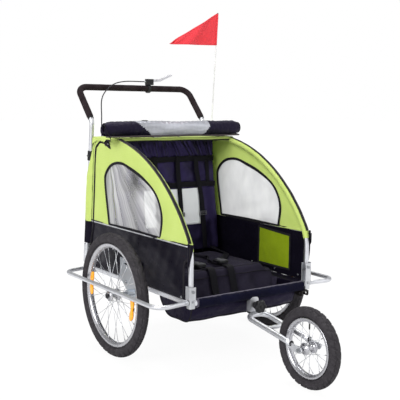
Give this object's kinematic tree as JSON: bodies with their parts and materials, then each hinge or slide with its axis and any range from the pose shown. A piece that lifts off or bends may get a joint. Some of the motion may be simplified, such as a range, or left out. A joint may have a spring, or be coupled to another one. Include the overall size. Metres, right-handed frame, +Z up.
{
  "type": "child bicycle trailer",
  "caption": "Folding child bicycle trailer with side-by-side seats, jogger front wheel, push handle, rolled-up front cover and safety flag.",
  "frame": {"origin": "on the ground under the middle of the whole trailer's box, jogger wheel and handle fitted", "axes": "+Z up; the jogger wheel points along -Y and the push handle along +Y; -X is the right hand of a seated child"},
  "size_m": [0.9016, 1.393, 1.4372],
  "materials": {
    "silver_tube": "satin",
    "steel": "brushed",
    "black_steel": "satin",
    "tyre": "matte",
    "foam": "matte",
    "plastic": "matte",
    "green_fabric": "matte",
    "black_fabric": "matte",
    "coated_fabric": "satin",
    "vinyl": "gloss",
    "pole": "satin",
    "amber": "gloss",
    "red_fabric": "matte"
  },
  "bodies": {
    "base": {"base_frame": "silver_tube", "front_bar_pad": "black_fabric", "cabin_tub": "black_fabric", "tow_bracket": "black_steel", "seat_pad": "black_fabric", "seat_back": "black_fabric", "roof_panel": "green_fabric", "rear_panel": "green_fabric", "cover_roll": "black_fabric", "flag_holder": "plastic", "flag_pole": "pole", "flag": "red_fabric", "front_hinge_channel_right": "silver_tube", "rear_hinge_channel_right": "silver_tube", "hinge_pin_front_right": "steel", "hinge_pin_rear_right": "steel", "wheel_guard_right": "silver_tube", "axle_plate_right": "steel", "wheel_axle_right": "steel", "harness_right": "plastic", "front_hinge_channel_left": "silver_tube", "rear_hinge_channel_left": "silver_tube", "hinge_pin_front_left": "steel", "hinge_pin_rear_left": "steel", "wheel_guard_left": "silver_tube", "axle_plate_left": "steel", "wheel_axle_left": "steel", "harness_left": "plastic"},
    "side_right": {"side_arch_right": "silver_tube", "side_fabric_upper_right": "green_fabric", "side_fabric_lower_right": "coated_fabric", "side_window_right": "vinyl"},
    "side_left": {"side_arch_left": "silver_tube", "side_fabric_upper_left": "green_fabric", "side_fabric_lower_left": "coated_fabric", "side_window_left": "vinyl", "inner_pocket": "green_fabric"},
    "push_handle": {"handle_tube": "silver_tube", "handle_grip": "foam", "lever_clamp": "plastic", "brake_cable": "plastic"},
    "brake_lever": {"brake_lever": "silver_tube"},
    "wheel_right": {"rear_tyre_right": "tyre", "rear_wheel_right": "silver_tube", "reflector_front_right": "amber", "reflector_rear_right": "amber"},
    "wheel_left": {"rear_tyre_left": "tyre", "rear_wheel_left": "silver_tube", "reflector_front_left": "amber", "reflector_rear_left": "amber"},
    "button_right": {"release_button_right": "plastic"},
    "button_left": {"release_button_left": "plastic"},
    "jogger_arm": {"jogger_fork": "silver_tube", "arm_bracket": "silver_tube", "front_axle": "steel"},
    "front_wheel": {"front_tyre": "tyre", "front_wheel": "silver_tube"},
    "arm_knob": {"arm_knob": "plastic"}
  },
  "joints": [
    {"name": "side_fold_right", "type": "hinge", "parent": "base", "child": "side_right", "pos_m": [-0.288, 0.1635, 0.327], "axis": [0, 1, 0], "range_deg": [0, 90], "deforming": ["seat_pad", "seat_back", "harness_right", "harness_left", "roof_panel", "rear_panel", "cover_roll"]},
    {"name": "side_fold_left", "type": "hinge", "parent": "base", "child": "side_left", "pos_m": [0.288, 0.1635, 0.355], "axis": [0, -1, 0], "range_deg": [0, 90]},
    {"name": "handle_lift", "type": "slide", "parent": "base", "child": "push_handle", "axis": [0, -0.0926, 0.9957], "range_m": [0, 0.25]},
    {"name": "brake_squeeze", "type": "hinge", "parent": "push_handle", "child": "brake_lever", "pos_m": [0.087, 0.6685, 1.123], "axis": [0, 1, 0], "range_deg": [0, 16], "stiffness_Nm_per_rad": 1.5, "springref_deg": -11.46},
    {"name": "wheel_spin_right", "type": "hinge", "parent": "base", "child": "wheel_right", "pos_m": [-0.4, 0.1635, 0.25], "axis": [1, 0, 0], "continuous": true},
    {"name": "wheel_spin_left", "type": "hinge", "parent": "base", "child": "wheel_left", "pos_m": [0.4, 0.1635, 0.25], "axis": [1, 0, 0], "continuous": true},
    {"name": "button_press_right", "type": "slide", "parent": "base", "child": "button_right", "axis": [1, 0, 0], "range_m": [0, 0.004], "stiffness_N_per_m": 600, "springref_m": -0.003},
    {"name": "button_press_left", "type": "slide", "parent": "base", "child": "button_left", "axis": [-1, 0, 0], "range_m": [0, 0.004], "stiffness_N_per_m": 600, "springref_m": -0.003},
    {"name": "arm_slide", "type": "slide", "parent": "base", "child": "jogger_arm", "axis": [0, -1, 0], "range_m": [0, 0.06]},
    {"name": "front_wheel_spin", "type": "hinge", "parent": "jogger_arm", "child": "front_wheel", "pos_m": [0, -0.5465, 0.15], "axis": [1, 0, 0], "continuous": true},
    {"name": "knob_turn", "type": "hinge", "parent": "jogger_arm", "child": "arm_knob", "pos_m": [0, -0.2395, 0.241], "axis": [0, 1, 0], "continuous": true}
  ]
}
